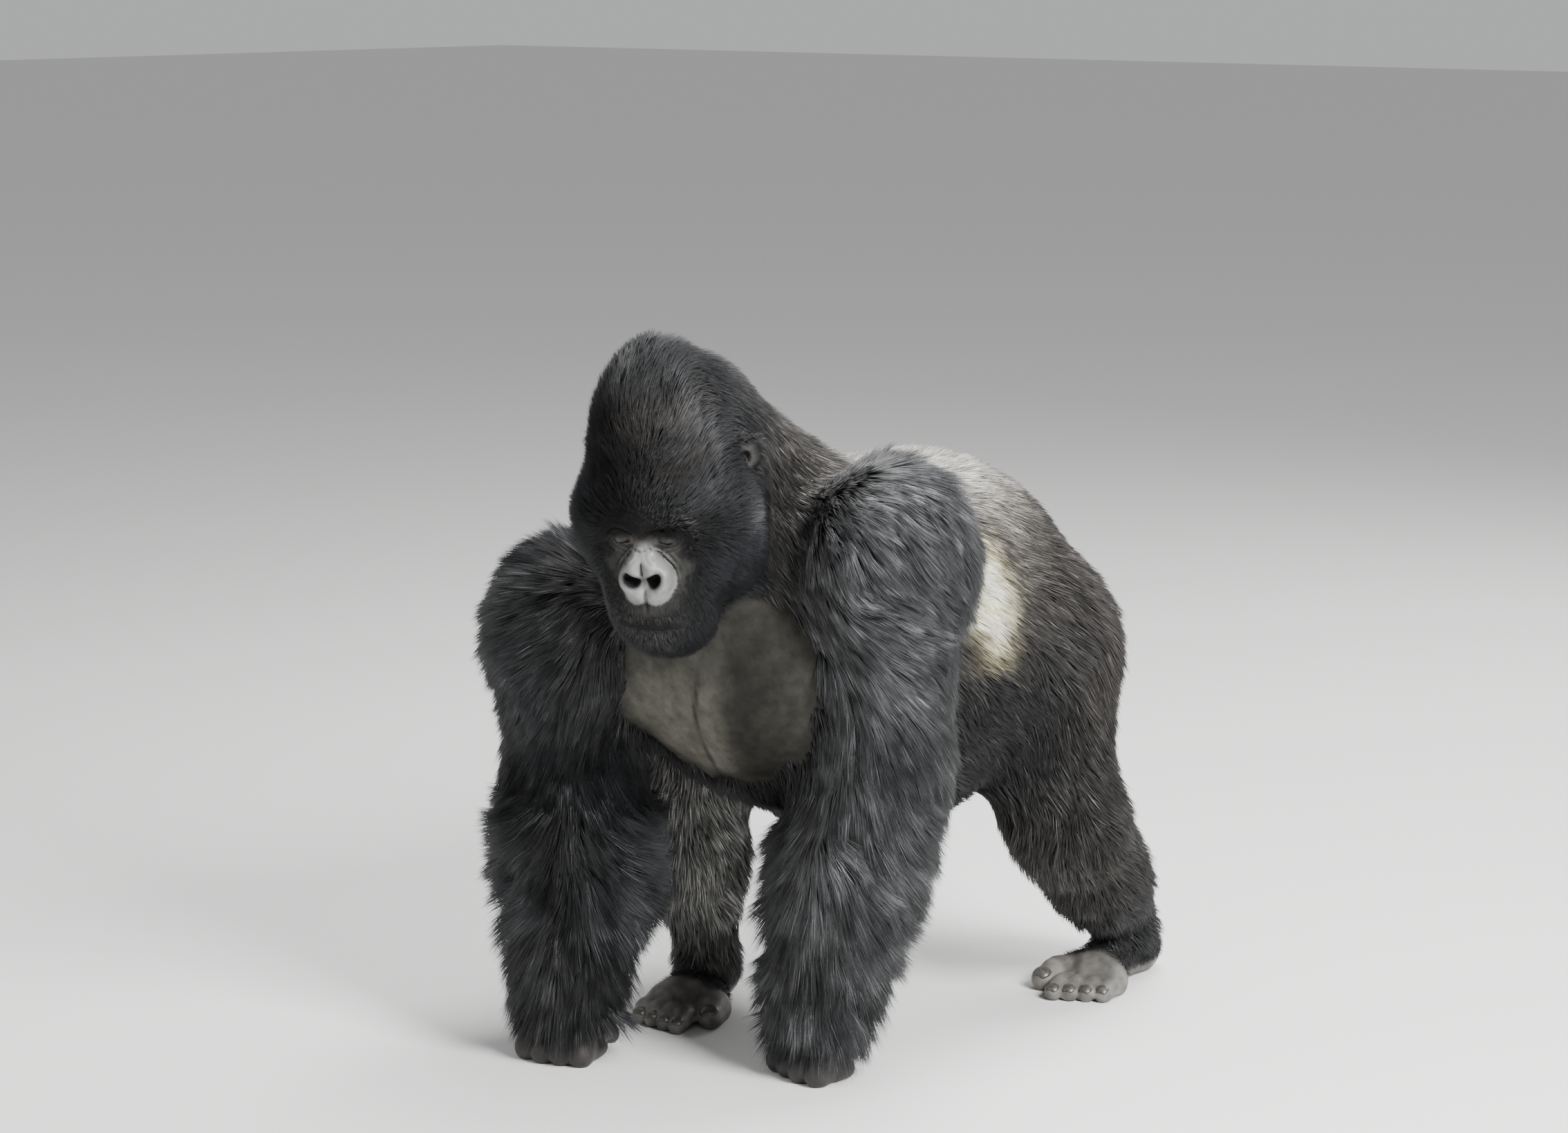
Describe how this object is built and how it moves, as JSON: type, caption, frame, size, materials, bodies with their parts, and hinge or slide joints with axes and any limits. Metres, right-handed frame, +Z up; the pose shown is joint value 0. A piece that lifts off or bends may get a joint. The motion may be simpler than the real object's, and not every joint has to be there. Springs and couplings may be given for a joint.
{
  "type": "mountain gorilla figure",
  "caption": "Life-size still model of a silverback mountain gorilla standing on its knuckles and soles, head lowered and turned a little to its left",
  "frame": {"origin": "on the floor, under the middle of the animal's bounding box", "axes": "+X to the animal's left, +Y to its rear, so that it faces -Y, +Z up"},
  "size_m": [0.7759, 1.2416, 1.1656],
  "materials": {
    "black_hair": "long shaggy black hair with a blue-grey sheen",
    "saddle_hair": "short dense silver-grey hair",
    "brown_hair": "grizzled brown-grey hair",
    "chest_skin": "bare matte brown-grey skin with faint wrinkles",
    "black_skin": "creased black skin with a slight gloss",
    "foot_skin": "dusty grey-brown skin with pale nails",
    "eye": "wet dark brown"
  },
  "bodies": {
    "root": {"belly": "saddle_hair", "chest": "chest_skin", "ear_left": "black_skin", "ear_right": "black_skin", "eye_left": "eye", "eye_right": "eye", "finger_1_left": "black_skin", "finger_1_right": "black_skin", "finger_2_left": "black_skin", "finger_2_right": "black_skin", "finger_3_left": "black_skin", "finger_3_right": "black_skin", "finger_4_left": "black_skin", "finger_4_right": "black_skin", "foot_left": "foot_skin", "foot_right": "foot_skin", "forearm_left": "black_hair", "forearm_right": "black_hair", "hand_left": "black_skin", "hand_right": "black_skin", "head": "black_hair", "neck": "brown_hair", "rump": "brown_hair", "shin_left": "black_hair", "shin_right": "black_hair", "thigh_left": "brown_hair", "thigh_right": "brown_hair", "thumb_left": "black_skin", "thumb_right": "black_skin", "toe_1_left": "foot_skin", "toe_1_right": "foot_skin", "toe_2_left": "foot_skin", "toe_2_right": "foot_skin", "toe_3_left": "foot_skin", "toe_3_right": "foot_skin", "toe_4_left": "foot_skin", "toe_4_right": "foot_skin", "toe_5_left": "foot_skin", "toe_5_right": "foot_skin", "upper_arm_left": "black_hair", "upper_arm_right": "black_hair"}
  },
  "joints": []
}
